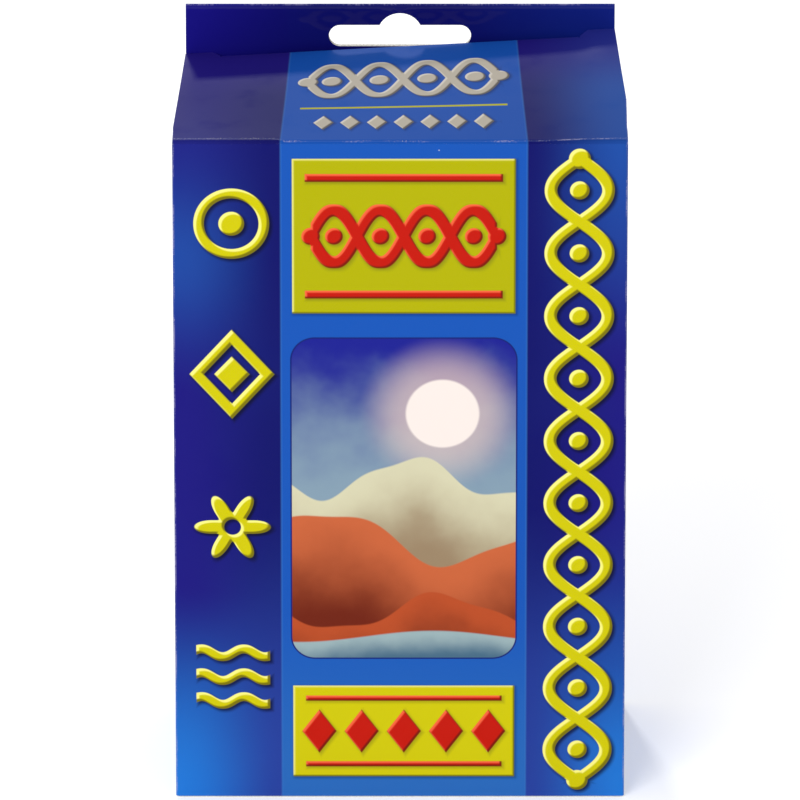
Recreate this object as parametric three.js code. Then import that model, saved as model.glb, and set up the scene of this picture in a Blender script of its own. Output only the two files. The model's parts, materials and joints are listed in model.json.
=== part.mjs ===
// A tall folding carton with a hinged tuck-in lid and a hang tab. Millimetres, +Z up, front towards -Y.
// Each panel of the folded blank is one mesh, with a narrow gap where the real board is creased.
import * as THREE from "three";

// Outer sizes of the carton, to its creases.
const FRONT_WIDTH = 117;
const DEPTH = 61;
const FRONT_HEIGHT = 185;

// Thickness of the board, and the clearance kept between two neighbouring panels.
const BOARD = 0.5;
const GAP = 0.3;

// The hang tab is the back panel carried on above the lid, a little narrower than the carton. At its top
// edge the board is folded over, and the facing comes down in front, printed side out, to below the tuck.
const TAB_RISE = 14;
const TAB_INSET = 2.7;
const TAB_STEP_HEIGHT = 1.5;
const TAB_CORNER = 1.2;
const FACING_BELOW_TUCK = 3;

// The peg slot: a long slot with round ends and a hump in the middle of its upper edge.
const SLOT_LENGTH = 37;
const SLOT_HEIGHT = 5.9;
const HUMP_WIDTH = 10.6;
const HUMP_HEIGHT = 3.3;
const BOARD_ABOVE_HUMP = 2.4;

// The lid and the bottom are alike: a closing panel, its tuck flap and two dust flaps.
// Two shoulders beside the tuck crease reach further than the crease and hold the closing panel shut.
const CLOSING_TAPER = 2.7;
const SHOULDER_WIDTH = 7;
const SHOULDER_SLANT = 2;
const SHOULDER_REACH = 2;
const TUCK_LENGTH = 13;
const TUCK_CORNER = 7;
const TUCK_SIDE_CLEARANCE = 0.5;
const DUST_LENGTH = 38;
const DUST_TIP_TAPER = 3;
const DUST_CORNER = 4;
const DUST_SIDE_CLEARANCE = 0.3;

// The closed lid is twisted: its left end lies flat and its right end stays turned up about the crease.
const LID_TWIST = THREE.MathUtils.degToRad(7);

// The glue flap closes the sleeve inside the back panel.
const GLUE_WIDTH = 14;
const GLUE_SLANT = 6;
const GLUE_BELOW_FACING = 2;

// How finely curves and the twisted sheets are divided.
const SHEET_COLUMNS = 16;
const CORNER_STEPS = 6;
const SLOT_STEPS = 16;

const halfWidth = FRONT_WIDTH / 2;
const foldDrop = BOARD + GAP;
const facingDrop = TUCK_LENGTH + FACING_BELOW_TUCK;
const shoulderX = halfWidth - CLOSING_TAPER - SHOULDER_WIDTH;
const tuckHalfWidth = shoulderX - SHOULDER_SLANT - TUCK_SIDE_CLEARANCE;

const printed = new THREE.MeshStandardMaterial({ color: 0x1c3f9a, roughness: 0.3, metalness: 0 });
const bare = new THREE.MeshStandardMaterial({ color: 0xc9c8c2, roughness: 0.85, metalness: 0 });

function piece(name, geometry, material) {
  const mesh = new THREE.Mesh(geometry, material);
  mesh.name = name;
  return mesh;
}

// A flat panel of board from its outline.
function cutBoard(outline) {
  return new THREE.ExtrudeGeometry(outline, {
    depth: BOARD,
    bevelEnabled: false,
    curveSegments: SLOT_STEPS,
  });
}

// A bent panel of board from its columns, left to right. Each column is a straight line on the outer
// face from near to far, and inward is the way through the board there.
function bentBoard(columns) {
  const last = columns.length - 1;
  const geometry = new THREE.BoxGeometry(1, 1, 1, last, 1, 1);
  const corners = geometry.getAttribute("position");
  for (let i = 0; i < corners.count; i += 1) {
    const column = columns[Math.round((corners.getX(i) + 0.5) * last)];
    const point = corners.getY(i) < 0 ? column.near.clone() : column.far.clone();
    if (corners.getZ(i) < 0) {
      point.addScaledVector(column.inward, BOARD);
    }
    corners.setXYZ(i, point.x, point.y, point.z);
  }
  geometry.computeVertexNormals();
  return geometry;
}

// How far from its crease a closed end's parts reach, with so many layers of board at the far side.
// The shoulders seat against the far side, the tuck crease stays short of it, and the tuck flap's free
// edge is held in so that it swings past it.
function reachOf(layers) {
  const shoulders = DEPTH - layers * (BOARD + GAP);
  const crease = shoulders - SHOULDER_REACH;
  const freeEdge = Math.sqrt(shoulders ** 2 - TUCK_LENGTH ** 2) - GAP;
  return { shoulders, crease, freeEdge };
}

// A column turned about the closing panel's crease, by more the further right it is.
function turned(column, twist) {
  const acrossAxis = new THREE.Vector3(1, 0, 0);
  const share = column.near.x / FRONT_WIDTH + 0.5;
  for (const vector of [column.near, column.far, column.inward]) {
    vector.applyAxisAngle(acrossAxis, twist * share);
  }
  return column;
}

// Even places from -limit to limit. Only a twisted sheet needs more than its two ends.
function evenPlaces(limit, twist) {
  const steps = twist === 0 ? 1 : SHEET_COLUMNS;
  const places = [];
  for (let i = 0; i <= steps; i += 1) {
    places.push(limit * ((2 * i) / steps - 1));
  }
  return places;
}

// The closing panel runs back from its crease along +Y, with its outer face up. It narrows as it goes,
// and its far edge steps out to the two shoulders.
function closingPanel(reach, twist) {
  const shoulderEnds = [halfWidth - CLOSING_TAPER, shoulderX];
  const places = [
    ...shoulderEnds.map((x) => ({ x: -x, far: reach.shoulders })),
    ...evenPlaces(shoulderX - SHOULDER_SLANT, twist).map((x) => ({ x, far: reach.crease })),
    ...shoulderEnds.reverse().map((x) => ({ x, far: reach.shoulders })),
  ];
  const widening = halfWidth / (halfWidth - CLOSING_TAPER);
  return bentBoard(
    places.map(({ x, far }) => {
      const column = {
        near: new THREE.Vector3(x * widening, 0, 0),
        far: new THREE.Vector3(x, far, 0),
        inward: new THREE.Vector3(0, 0, -1),
      };
      return turned(column, twist);
    }),
  );
}

// The tuck flap hangs from the closing panel's far crease. It leans in just enough for its free edge to
// swing past the opposite panel, and its free corners are round.
function tuckFlap(reach, twist) {
  const straightX = tuckHalfWidth - TUCK_CORNER;
  const straight = evenPlaces(straightX, twist).map((x) => ({ x, drop: TUCK_LENGTH }));
  const round = [];
  for (let i = 0; i < CORNER_STEPS; i += 1) {
    const angle = (i / CORNER_STEPS) * (Math.PI / 2);
    const x = tuckHalfWidth - TUCK_CORNER * (1 - Math.cos(angle));
    round.push({ x, drop: TUCK_LENGTH - TUCK_CORNER * (1 - Math.sin(angle)) });
  }
  const places = [
    ...round.map(({ x, drop }) => ({ x: -x, drop })),
    ...straight,
    ...round.reverse(),
  ];
  const lean = (reach.crease - reach.freeEdge) / (TUCK_LENGTH - foldDrop);
  return bentBoard(
    places.map(({ x, drop }) => {
      const column = {
        near: new THREE.Vector3(x, reach.crease, -foldDrop),
        far: new THREE.Vector3(x, reach.crease - lean * (drop - foldDrop), -drop),
        inward: new THREE.Vector3(0, -1, lean).normalize(),
      };
      return turned(column, twist);
    }),
  );
}

// A dust flap lies under the closing panel. side is -1 for the left one and 1 for the right one.
// Its root reaches the far panel beside the tuck flap, and the rest stays clear of the tuck flap.
function dustFlap(reach, side) {
  const near = BOARD + GAP + DUST_SIDE_CLEARANCE;
  const rootFar = reach.shoulders - DUST_SIDE_CLEARANCE;
  const far = reach.freeEdge - BOARD - GAP - DUST_SIDE_CLEARANCE;
  const notchX = tuckHalfWidth + TUCK_SIDE_CLEARANCE;
  const tipX = halfWidth - DUST_LENGTH;
  const outline = new THREE.Shape();
  outline.moveTo(side * halfWidth, near);
  outline.lineTo(side * halfWidth, rootFar);
  outline.lineTo(side * (notchX + SHOULDER_SLANT), rootFar);
  outline.lineTo(side * notchX, far);
  outline.lineTo(side * (tipX + DUST_CORNER), far - DUST_TIP_TAPER);
  outline.quadraticCurveTo(
    side * tipX,
    far - DUST_TIP_TAPER,
    side * tipX,
    far - DUST_TIP_TAPER - DUST_CORNER,
  );
  outline.lineTo(side * tipX, near + DUST_TIP_TAPER + DUST_CORNER);
  outline.quadraticCurveTo(
    side * tipX,
    near + DUST_TIP_TAPER,
    side * (tipX + DUST_CORNER),
    near + DUST_TIP_TAPER,
  );
  return cutBoard(outline);
}

// One closed end of the carton, with its crease at the origin.
function closedEnd(names, farLayers, twist) {
  const end = new THREE.Group();
  const reach = reachOf(farLayers);
  end.add(piece(names.panel, closingPanel(reach, twist), printed));
  end.add(piece(names.tuck, tuckFlap(reach, twist), printed));
  for (const [name, side] of [
    [names.dustLeft, -1],
    [names.dustRight, 1],
  ]) {
    const flap = piece(name, dustFlap(reach, side), bare);
    flap.position.z = -foldDrop - BOARD;
    end.add(flap);
  }
  return end;
}

// The back panel with the hang tab and the peg slot, or the facing, which is like its upper part.
// foot is the lower edge's height, and lowerX half the width there.
function backOutline(foot, lowerX) {
  const top = FRONT_HEIGHT + TAB_RISE;
  const tabX = halfWidth - TAB_INSET;
  const outline = new THREE.Shape();
  outline.moveTo(-lowerX, foot);
  outline.lineTo(lowerX, foot);
  outline.lineTo(lowerX, FRONT_HEIGHT - foldDrop);
  outline.lineTo(tabX, FRONT_HEIGHT - foldDrop + TAB_STEP_HEIGHT);
  outline.lineTo(tabX, top - TAB_CORNER);
  outline.absarc(tabX - TAB_CORNER, top - TAB_CORNER, TAB_CORNER, 0, Math.PI / 2);
  outline.lineTo(TAB_CORNER - tabX, top);
  outline.absarc(TAB_CORNER - tabX, top - TAB_CORNER, TAB_CORNER, Math.PI / 2, Math.PI);
  outline.lineTo(-tabX, FRONT_HEIGHT - foldDrop + TAB_STEP_HEIGHT);
  outline.lineTo(-lowerX, FRONT_HEIGHT - foldDrop);
  outline.holes.push(slotOutline(top - BOARD_ABOVE_HUMP - HUMP_HEIGHT));
  return outline;
}

// The slot's hole, with its straight upper edge at the height upperEdge. The hump is an arc over it.
function slotOutline(upperEdge) {
  const endRadius = SLOT_HEIGHT / 2;
  const endX = SLOT_LENGTH / 2 - endRadius;
  const middle = upperEdge - endRadius;
  const humpRadius = ((HUMP_WIDTH / 2) ** 2 + HUMP_HEIGHT ** 2) / (2 * HUMP_HEIGHT);
  const humpCentre = upperEdge + HUMP_HEIGHT - humpRadius;
  const humpStart = Math.atan2(upperEdge - humpCentre, HUMP_WIDTH / 2);
  const slot = new THREE.Path();
  slot.moveTo(-endX, middle - endRadius);
  slot.lineTo(endX, middle - endRadius);
  slot.absarc(endX, middle, endRadius, -Math.PI / 2, Math.PI / 2);
  slot.lineTo(HUMP_WIDTH / 2, upperEdge);
  slot.absarc(0, humpCentre, humpRadius, humpStart, Math.PI - humpStart);
  slot.lineTo(-endX, upperEdge);
  slot.absarc(-endX, middle, endRadius, Math.PI / 2, (3 * Math.PI) / 2);
  return slot;
}

// The glue flap, a strip with slanted ends that stops short of the facing.
function glueOutline() {
  const outerX = halfWidth - BOARD - GAP;
  const innerX = outerX - GLUE_WIDTH;
  const low = facingDrop + GLUE_BELOW_FACING;
  const high = FRONT_HEIGHT - low;
  const outline = new THREE.Shape();
  outline.moveTo(outerX, low);
  outline.lineTo(outerX, high);
  outline.lineTo(innerX, high - GLUE_SLANT);
  outline.lineTo(innerX, low + GLUE_SLANT);
  return outline;
}

const carton = new THREE.Group();

const frontHeight = FRONT_HEIGHT - foldDrop;
const front = piece("front_panel", new THREE.BoxGeometry(FRONT_WIDTH, BOARD, frontHeight), printed);
front.position.set(0, (BOARD - DEPTH) / 2, frontHeight / 2);
carton.add(front);

const sideDepth = DEPTH - 2 * (BOARD + GAP);
const sideHeight = FRONT_HEIGHT - 4 * foldDrop;
for (const [name, side] of [
  ["left_panel", -1],
  ["right_panel", 1],
]) {
  const panel = piece(name, new THREE.BoxGeometry(BOARD, sideDepth, sideHeight), printed);
  panel.position.set(side * (halfWidth - BOARD / 2), 0, FRONT_HEIGHT / 2);
  carton.add(panel);
}

// Outlines drawn upright are turned to face -Y, and the board then lies in front of the panel's place.
const back = piece("back_panel", cutBoard(backOutline(foldDrop, halfWidth)), printed);
back.rotation.x = Math.PI / 2;
back.position.y = DEPTH / 2;
carton.add(back);

const facingOutline = backOutline(FRONT_HEIGHT - facingDrop, halfWidth - BOARD - GAP);
const facing = piece("tab_facing", cutBoard(facingOutline), printed);
facing.rotation.x = Math.PI / 2;
facing.position.y = DEPTH / 2 - BOARD - GAP;
carton.add(facing);

const glue = piece("glue_flap", cutBoard(glueOutline()), bare);
glue.rotation.x = Math.PI / 2;
glue.position.y = DEPTH / 2 - BOARD - GAP;
carton.add(glue);

const topNames = {
  panel: "lid_panel",
  tuck: "tuck_flap",
  dustLeft: "dust_flap_left",
  dustRight: "dust_flap_right",
};
const lidEnd = closedEnd(topNames, 2, LID_TWIST);
lidEnd.position.set(0, -DEPTH / 2, FRONT_HEIGHT);
carton.add(lidEnd);

// The bottom closes the other way round: it is creased at the back and tucks in behind the front.
const bottomNames = {
  panel: "bottom_panel",
  tuck: "bottom_tuck_flap",
  dustLeft: "bottom_dust_flap_left",
  dustRight: "bottom_dust_flap_right",
};
const bottomEnd = closedEnd(bottomNames, 1, 0);
bottomEnd.rotation.x = Math.PI;
bottomEnd.position.set(0, DEPTH / 2, 0);
carton.add(bottomEnd);

export default carton;
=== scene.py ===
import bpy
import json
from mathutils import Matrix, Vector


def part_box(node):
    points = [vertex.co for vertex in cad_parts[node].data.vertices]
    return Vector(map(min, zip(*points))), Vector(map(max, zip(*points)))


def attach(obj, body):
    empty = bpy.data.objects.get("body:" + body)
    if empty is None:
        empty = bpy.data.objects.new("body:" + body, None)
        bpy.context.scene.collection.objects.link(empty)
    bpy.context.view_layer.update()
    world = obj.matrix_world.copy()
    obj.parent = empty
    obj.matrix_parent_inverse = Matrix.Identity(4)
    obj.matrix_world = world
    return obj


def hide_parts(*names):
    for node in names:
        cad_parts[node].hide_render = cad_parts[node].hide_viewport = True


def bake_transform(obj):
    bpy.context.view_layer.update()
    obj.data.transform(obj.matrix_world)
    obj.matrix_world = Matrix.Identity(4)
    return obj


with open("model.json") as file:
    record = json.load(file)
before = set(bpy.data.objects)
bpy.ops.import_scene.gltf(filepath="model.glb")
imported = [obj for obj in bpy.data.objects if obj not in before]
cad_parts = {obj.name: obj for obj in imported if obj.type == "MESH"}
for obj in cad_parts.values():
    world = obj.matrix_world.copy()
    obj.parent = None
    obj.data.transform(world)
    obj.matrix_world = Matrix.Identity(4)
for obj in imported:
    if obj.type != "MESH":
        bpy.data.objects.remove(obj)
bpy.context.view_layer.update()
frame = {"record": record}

import json
import math

import bmesh
import bpy
from mathutils import Vector, geometry

# The board is folding boxboard half a millimetre thick. It is grey-white and unprinted inside, its cut
# edges show the pale pulp, and its outer face is clay-coated, printed in inks and then varnished.
class Finish:
    """One finish of the board: a material, its nodes added in the order in which they are written."""

    def __init__(self, name):
        self.material = bpy.data.materials.new(name)
        self.material.use_nodes = True
        self.nodes = self.material.node_tree.nodes
        self.links = self.material.node_tree.links
        self.nodes.clear()

    def node(self, kind, settings, sockets, output=0):
        """Adds a node, sets it up, then gives its sockets their values or links."""
        made = self.nodes.new("ShaderNode" + kind)
        for setting, value in settings.items():
            setattr(made, setting, value)
        for socket, value in sockets.items():
            if isinstance(value, Tone):
                self.links.new(value.socket, made.inputs[socket])
            else:
                made.inputs[socket].default_value = value
        return Tone(self, made.outputs[output]) if made.outputs else made

    def blank_place(self):
        """The place on the flat sheet in millimetres, to the right and up."""
        blank = self.node("UVMap", {"uv_map": "blank"}, {})
        u = self.node("SeparateXYZ", {}, {0: blank}, 0)
        v = self.node("SeparateXYZ", {}, {0: blank}, 1)
        return u * 100, v * 100

    def at(self, u, v, w=0.0):
        return self.node("CombineXYZ", {}, {0: u, 1: v, 2: w})

    def rise(self, value, start, end):
        """0 up to start, 1 from end on, and a smooth rise between."""
        return self.node("MapRange", {"interpolation_type": "SMOOTHSTEP"}, {0: value, 1: start, 2: end})

    def mix(self, below, above, share):
        """The colour below, with so much of the colour above over it."""
        return self.node("Mix", {"data_type": "RGBA"}, {0: share, 6: below, 7: above}, 2)

    def clouds(self, place, scale, detail=2.0):
        return self.node("TexNoise", {}, {"Vector": place, "Scale": scale, "Detail": detail}, 0)

    def board_shader(self, colour, roughness, normal=None, **sockets):
        """Ends the finish in a board surface."""
        surface = {"Base Color": colour, "Roughness": roughness}
        if normal is not None:
            surface["Normal"] = normal
        surface.update({name.replace("_", " "): value for name, value in sockets.items()})
        shader = self.node("BsdfPrincipled", {}, surface)
        self.node("OutputMaterial", {}, {"Surface": shader})
        return self.material


class Tone:
    """A value that may change over the board. Arithmetic on it adds Math nodes to its finish."""

    def __init__(self, finish, socket):
        self.finish = finish
        self.socket = socket

    def maths(self, operation, *values):
        sockets = {i: value for i, value in enumerate((self, *values))}
        return self.finish.node("Math", {"operation": operation}, sockets)

    def swapped(self, operation, value):
        return self.finish.node("Math", {"operation": operation}, {0: value, 1: self})

    def __add__(self, value):
        return self.maths("ADD", value)

    __radd__ = __add__

    def __sub__(self, value):
        return self.maths("SUBTRACT", value)

    def __rsub__(self, value):
        return self.swapped("SUBTRACT", value)

    def __mul__(self, value):
        return self.maths("MULTIPLY", value)

    __rmul__ = __mul__

    def __truediv__(self, value):
        return self.maths("DIVIDE", value)

    def __neg__(self):
        return self.maths("MULTIPLY", -1.0)

    def __abs__(self):
        return self.maths("ABSOLUTE")

    def sine(self):
        return self.maths("SINE")

    def least(self, value):
        return self.maths("MINIMUM", value)

    def most(self, value):
        return self.maths("MAXIMUM", value)

    def root(self):
        return self.maths("SQRT")


def ink(red, green, blue):
    """A printed colour from its screen values, 0 to 255."""
    return tuple((value / 255 / 12.92 if value <= 10 else ((value / 255 + 0.055) / 1.055) ** 2.4)
                 for value in (red, green, blue)) + (1.0,)


def bare_inside():
    finish = Finish("bare_inside")
    u, v = finish.blank_place()
    pulp = finish.clouds(finish.at(u, v), 0.9, 5.0)
    fibres = finish.clouds(finish.at(u * 0.25, v * 1.6), 1.4, 3.0)
    flecks = finish.rise(finish.clouds(finish.at(u, v), 2.6, 1.0), 0.70, 0.76)
    colour = finish.mix(ink(206, 203, 194), ink(226, 224, 217), finish.rise(pulp, 0.3, 0.7))
    colour = finish.mix(colour, ink(168, 160, 146), flecks * 0.5)
    bump = finish.node("Bump", {}, {"Strength": 0.25, "Distance": 0.0002, "Height": pulp + fibres * 0.6})
    return finish.board_shader(colour, 0.78 + 0.12 * fibres, bump, Specular_IOR_Level=0.2)


def cut_edge():
    finish = Finish("cut_edge")
    place = finish.node("TexCoord", {}, {}, "Object")
    pulp = finish.clouds(place, 2600.0, 3.0)
    colour = finish.mix(ink(186, 182, 170), ink(232, 230, 222), finish.rise(pulp, 0.35, 0.65))
    return finish.board_shader(colour, 0.85 + 0.1 * pulp, Specular_IOR_Level=0.15)


bare = bare_inside()
edge = cut_edge()

# The inks of the outer face are airbrushed blues: navy, violet and azure at the sides, and a lighter blue
# band down the middle. Above them lies a clear gloss varnish. Where the board is creased the ink has
# cracked to the white coating, and handling has left small scuffs.
MM = 0.001


def node_box(name):
    """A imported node's low and high corners, in millimetres."""
    low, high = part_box(name)
    return Vector(low) / MM, Vector(high) / MM


front_low, front_high = node_box("front_panel")
back_high = node_box("back_panel")[1]
half_width = front_high.x
depth = back_high.y - front_low.y
crease_z = frame["record"]["behaviour"]["joints"][0]["pos_m"][2] / MM
tab_top = back_high.z
NAVY = ink(9, 13, 100)
ROYAL = ink(36, 62, 152)
VIOLET = ink(24, 18, 120)
AZURE = ink(30, 114, 204)
BAND = ink(20, 82, 176)
PALE_BAND = ink(44, 108, 182)
YELLOW = ink(202, 194, 4)
# The large upper panel's yellow is darker as painted shade: the light falls off towards the top.
YELLOW_IN_PAINTED_SHADE = ink(174, 172, 0)
RED = ink(190, 22, 6)
BAND_MIDDLE = 1.0
BAND_HALF = 31.7
WEAR_BEHIND_CREASE = 1.4
SIDE_FOLD = 0.8
SCUFF = ink(226, 226, 224)
CRACK = ink(172, 168, 196)
RUBBED_EDGE = ink(120, 140, 205)
BAND_RIM = ink(52, 112, 190)
CAST_SHADOW = ink(4, 5, 30)
SPECK_SCALE = 0.085
EDGE_SOFTNESS = 0.14


def hump(finish, value, middle, width):
    """1 at the middle, and falling off softly to both sides."""
    off = (value - middle) / width
    return (-(off * off)).maths("EXPONENT")


def airbrushed_blues(finish, u, v):
    """The ground inks, by the place on the flat sheet."""
    drift = finish.clouds(finish.at(u * 0.03, v * 0.02), 1.0, 1.0) - 0.5
    low = 1 - finish.rise(v, 0.0, 62.0)
    left_azure = (hump(finish, v, 152.0, 20.0) * 0.3 + low).least(1.0)
    upper_right = finish.rise(v, 118.0, 192.0) * 0.4
    right_azure = (upper_right + hump(finish, v, 52.0, 16.0) * 0.15 + low).least(1.0)
    right = finish.rise(u, -1.0, 1.0)
    azure = left_azure + (right_azure - left_azure) * right
    outer = finish.mix(VIOLET, AZURE, (azure + drift * 0.12).most(0.0))
    inner = finish.mix(NAVY, ROYAL, (1 - finish.rise(v, 0.0, 95.0) + drift * 0.3).most(0.0))
    across = finish.rise(abs(u - BAND_MIDDLE), BAND_HALF, 58.0)
    return finish.mix(inner, outer, across)


def band_down_the_middle(finish, u, v, ground):
    """The lighter band over the ground, with a pale rim along both its edges."""
    from_middle = abs(u - BAND_MIDDLE)
    blue = finish.mix(BAND, PALE_BAND, (1 - finish.rise(v, 0.0, 60.0)) * 0.7)
    banded = finish.mix(ground, blue, 1 - finish.rise(from_middle, BAND_HALF - 0.12, BAND_HALF + 0.12))
    rim = 1 - finish.rise(abs(from_middle - BAND_HALF), 0.1, 0.4)
    return finish.mix(banded, BAND_RIM, rim * 0.4)


def worn_ink(finish, u, v, colour, top_crease):
    """The print with its creases cracked and a few specks knocked out of it."""
    place = finish.at(u, v)
    patches = finish.clouds(finish.at(u * 0.11, v * 0.11), 1.0, 2.0)
    grit = finish.clouds(place, 2.2, 2.0)
    run = abs(u)
    upright = abs(run - half_width).least(abs(run - half_width - depth))
    level = abs(v - top_crease).least(abs(v))
    crease = upright.least(level)
    on_crease = 1 - finish.rise(crease, 0.1, 0.5)
    towards_corners = finish.rise(run, 26.0, 50.0) * 0.07
    rubbed = finish.rise(patches * 0.6 + grit * 0.5 + towards_corners, 0.60, 0.72) * on_crease
    line = (1 - finish.rise(crease, 0.05, 0.4)) * 0.1
    cell = finish.node("TexVoronoi", {}, {"Vector": place, "Scale": SPECK_SCALE}, "Distance")
    chance = finish.node("TexVoronoi", {}, {"Vector": place, "Scale": SPECK_SCALE}, "Color")
    chosen = finish.rise(finish.node("SeparateXYZ", {}, {0: chance}, 0), 0.78, 0.8)
    specks = (1 - finish.rise(cell, 0.010, 0.022)) * chosen
    colour = finish.mix(colour, RUBBED_EDGE, line)
    cracked = finish.mix(colour, CRACK, rubbed * 0.5)
    return finish.mix(cracked, SCUFF, specks * 0.8)


def lid_crease_wear(finish, u):
    """The height at which the ink along the lid's crease is rubbed: behind the crease at both ends."""
    behind = finish.rise(u, 30.0, 58.0) + 1 - finish.rise(u, -33.0, -29.0)
    return behind * WEAR_BEHIND_CREASE + crease_z


def varnished(finish, u, v, colour, coat=0.10, haze=0.05):
    """Ends a printed finish in its clear varnish, with the board's faint waves under it."""
    place = finish.at(u, v)
    orange_peel = finish.clouds(place, 0.8, 2.0)
    waves = finish.clouds(finish.at(u * 0.05, v * 0.035), 1.0, 1.0)
    rubs = finish.rise(finish.clouds(finish.at(u * 0.09, v * 0.09), 1.0, 4.0), 0.5, 0.8)
    bump = finish.node("Bump", {}, {"Strength": 0.25, "Distance": 0.0004,
                                    "Height": waves + orange_peel * 0.01})
    return finish.board_shader(
        colour, 0.42 + 0.12 * rubs, bump, Specular_IOR_Level=0.03,
        Coat_Weight=coat - coat * 0.25 * rubs, Coat_Roughness=haze, Coat_IOR=1.5,
    )


def bevelled(finish, u, v, colour, shape, face, light, dark, bevel, shadow):
    """A motif printed as if it stood up from the ground, with light from the upper left. shape gives how
    far a place is outside the motif, in millimetres."""
    body = shape(u, v)
    from_light = shape(u - bevel, v + bevel)
    to_light = shape(u + bevel, v - bevel)
    cast = (1 - finish.rise(from_light, -0.5, 0.9)) * shadow
    colour = finish.mix(colour, CAST_SHADOW, cast)
    inside = 1 - finish.rise(body, -EDGE_SOFTNESS, EDGE_SOFTNESS)
    top = finish.mix(face, light, finish.rise(from_light, -EDGE_SOFTNESS * 3, EDGE_SOFTNESS))
    top = finish.mix(top, dark, finish.rise(to_light, -EDGE_SOFTNESS * 3, EDGE_SOFTNESS))
    return finish.mix(colour, top, inside)


# Each of the next shapes gives how far a place is outside it, in millimetres, and less than 0 inside.
def ring(u, v, middle_u, middle_v, radius, stroke):
    off_u, off_v = u - middle_u, v - middle_v
    return abs((off_u * off_u + off_v * off_v).root() - radius) - stroke / 2


def disc(u, v, middle_u, middle_v, radius):
    off_u, off_v = u - middle_u, v - middle_v
    return (off_u * off_u + off_v * off_v).root() - radius


def lozenge(u, v, middle_u, middle_v, half_u, half_v):
    sharp = 1 / math.hypot(1 / half_u, 1 / half_v)
    return (abs(u - middle_u) / half_u + abs(v - middle_v) / half_v - 1) * sharp


def block(u, v, low_u, high_u, low_v, high_v, corner):
    off_u = abs(u - (low_u + high_u) / 2) - (high_u - low_u) / 2 + corner
    off_v = abs(v - (low_v + high_v) / 2) - (high_v - low_v) / 2 + corner
    out_u, out_v = off_u.most(0.0), off_v.most(0.0)
    return (out_u * out_u + out_v * out_v).root() + off_u.most(off_v).least(0.0) - corner


def wave(along, off, swing, length, stroke, shift=0.0):
    """A wavy ribbon that runs along one way of the sheet. off is the place across it."""
    turn = 2 * math.pi / length
    phase = along * turn + shift
    lean = (phase + math.pi / 2).sine() * (swing * turn)
    return abs(off - phase.sine() * swing) / (1 + lean * lean).root() - stroke / 2


def plait(along, off, swing, turn, stroke, eye, knob, loops):
    """Two wavy strands that cross, with a round eye in each loop and a knob at both ends. along starts at
    one end, and turn is the length of two loops, so four loops reach one turn to each side."""
    twist = wave(along, off, swing, turn, stroke).least(wave(along, off, swing, turn, stroke, math.pi))
    quarter = turn / 4
    eyes = disc(off, (along - quarter).maths("WRAP", quarter, -quarter), 0.0, 0.0, eye)
    half = quarter * loops
    from_middle = abs(along - half)
    knobs = disc(off, from_middle, 0.0, half, knob)
    return twist.least(eyes).most(from_middle - half).least(knobs)


# The front's print is generic: four round and pointed figures down the left, a twisted ribbon with beads
# down the right, and a small landscape between a large yellow panel above and a small one below.
STRIP_MIDDLE = 45.0
FRONT_BEVEL = 0.55
RED_BEVEL = 0.4
LARGE_PANEL = (137.0, 180.0)
SMALL_PANEL = (6.0, 32.0)
LARGE_MIDDLE = sum(LARGE_PANEL) / 2
SMALL_MIDDLE = sum(SMALL_PANEL) / 2
PANEL_HALF = 28.8
RULE_HALF = 25.5
WINDOW = (40.0, 130.0)
WINDOW_HALF = 29.0
WINDOW_CORNER = 6.0
RIBBON_FOOT = 5.0
TARGET_V = 162.0
DIAMOND_V = 120.0
FLOWER_V = 77.0
RIPPLES_V = 34.5
RIPPLE_PITCH = 6.8
RED_TURN = 24.0


def ribbon_and_figures(u, v):
    ribbon = plait(v - RIBBON_FOOT, u - STRIP_MIDDLE - 1.2, swing=7.4, turn=35.0, stroke=3.2,
                   eye=2.5, knob=2.8, loops=10)
    left = u + STRIP_MIDDLE - 1.6
    target = ring(left, v, 0.0, TARGET_V, 8.4, 2.7).least(disc(left, v, 0.0, TARGET_V, 3.3))
    frame_line = abs(lozenge(left, v, 0.0, DIAMOND_V, 11.0, 12.5) + 1.4) - 1.4
    diamond = frame_line.least(lozenge(left, v, 0.0, DIAMOND_V, 4.6, 5.0))
    petal_angle = (v - FLOWER_V).maths("ARCTAN2", left)
    petals = (petal_angle * 6.0 + math.pi / 2).sine() * 2.9
    flower = (disc(left, v, 0.0, FLOWER_V, 7.0) - petals) * 0.62
    flower = flower.most(-disc(left, v, 0.0, FLOWER_V, 2.2))
    from_ripples = v - RIPPLES_V
    one_ripple = from_ripples.maths("WRAP", RIPPLE_PITCH / 2, -RIPPLE_PITCH / 2)
    ripples = wave(left, one_ripple, 1.1, 11.0, 2.5).most(abs(left) - 9.6).most(abs(from_ripples) - 9.4)
    return ribbon.least(target).least(diamond).least(flower).least(ripples)


def red_ornament(u, v):
    """A plait between two rules on the large panel, and lozenges between two rules on the small one."""
    across = u - BAND_MIDDLE
    high = v - LARGE_MIDDLE
    red_plait = plait(across + RED_TURN, high, swing=7.2, turn=RED_TURN, stroke=3.4,
                      eye=2.3, knob=2.4, loops=4)
    rules = (abs(abs(high) - 16.2) - 1.1).most(abs(across) - RULE_HALF)
    low = v - SMALL_MIDDLE
    row = lozenge(across.maths("WRAP", 5.5, -5.5), low, 0.0, 0.0, 4.5, 6.2).most(abs(across) - 27.4)
    thin_rules = (abs(abs(low) - 9.4) - 0.75).most(abs(across) - RULE_HALF)
    return red_plait.least(rules).least(row).least(thin_rules)


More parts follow.
